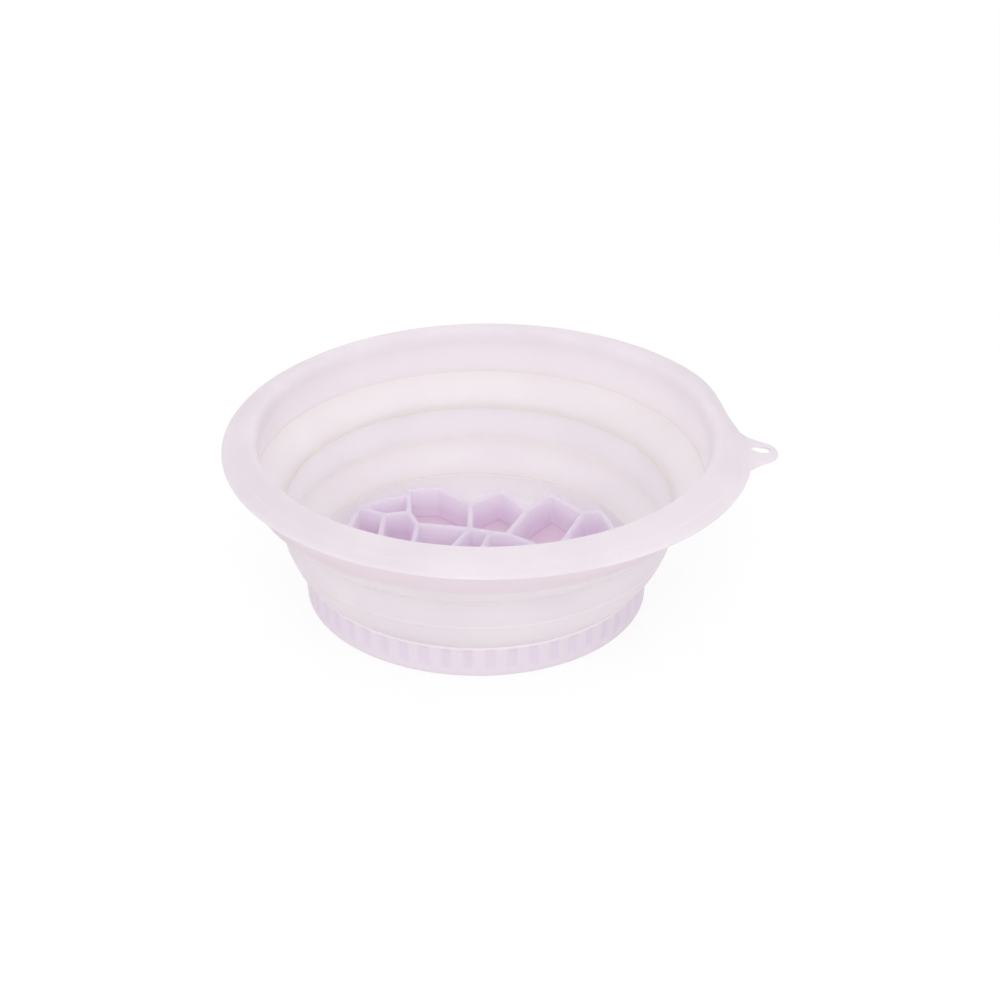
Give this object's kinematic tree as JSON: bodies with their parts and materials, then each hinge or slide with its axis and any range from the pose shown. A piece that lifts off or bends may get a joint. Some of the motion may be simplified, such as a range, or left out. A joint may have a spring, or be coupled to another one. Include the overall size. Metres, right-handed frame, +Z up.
{
  "type": "collapsible ice basin",
  "caption": "Round collapsible silicone basin with a sloped rim flange, hanging tab, folding stepped wall, fluted base and a lift-out irregular honeycomb ice lattice.",
  "frame": {"origin": "centre of the base's underside, on the basin's upright axis", "axes": "+Z up out of the mouth, +X towards the hanging tab"},
  "size_m": [0.2835, 0.2698, 0.0926],
  "materials": {
    "milky_silicone": "frosted translucent",
    "web_silicone": "frosted translucent",
    "base_silicone": "frosted translucent",
    "lilac_silicone": "satin lilac"
  },
  "bodies": {
    "base": {"base_cup": "base_silicone", "lower_fold_web": "web_silicone"},
    "ring": {"middle_ring": "milky_silicone", "upper_fold_web": "web_silicone"},
    "rim": {"rim_collar": "milky_silicone"},
    "lattice": {"ice_lattice": "lilac_silicone"}
  },
  "joints": [
    {"name": "ring_fold", "type": "slide", "parent": "base", "child": "ring", "axis": [0, 0, -1], "range_m": [0, 0.034], "deforming": ["lower_fold_web"]},
    {"name": "rim_fold", "type": "slide", "parent": "ring", "child": "rim", "axis": [0, 0, -1], "range_m": [0, 0.027], "deforming": ["upper_fold_web"]},
    {"name": "lattice_lift", "type": "slide", "parent": "base", "child": "lattice", "axis": [0, 0, 1], "range_m": [0, 0.1]}
  ]
}
